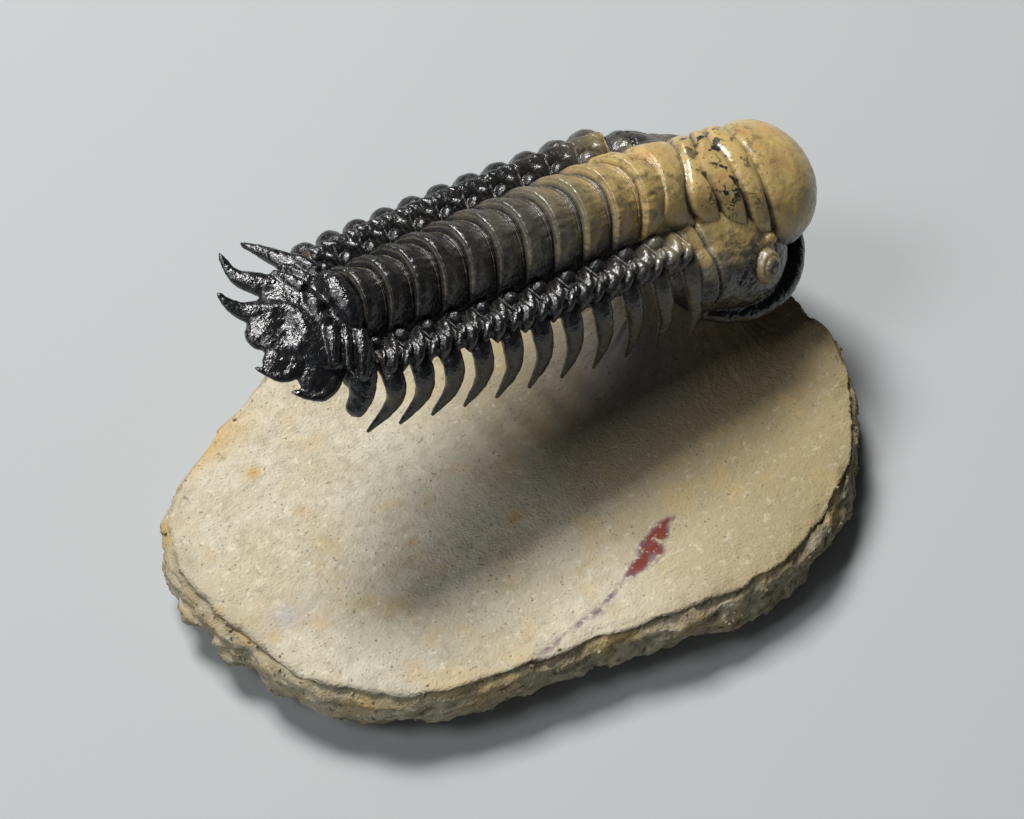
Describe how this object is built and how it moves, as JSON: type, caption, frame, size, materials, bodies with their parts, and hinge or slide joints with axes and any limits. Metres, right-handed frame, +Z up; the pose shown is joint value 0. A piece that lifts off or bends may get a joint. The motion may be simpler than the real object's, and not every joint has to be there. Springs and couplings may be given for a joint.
{
  "type": "cheirurus trilobite fossil",
  "caption": "Spiny trilobite fossil freed from its rock, held above a ground limestone slab by a flared pedestal left under its head.",
  "frame": {"origin": "middle of the footprint, on the ground under the slab", "axes": "+X from the tail towards the head, +Y to the side away from the viewer, +Z up"},
  "size_m": [0.0858, 0.0652, 0.0403],
  "materials": {
    "fossil_shell": "glossy black calcite shell, tan over the head",
    "limestone": "matt ground limestone with a broken rim"
  },
  "bodies": {
    "root": {"trilobite": "fossil_shell", "limestone_base": "limestone"}
  },
  "joints": []
}
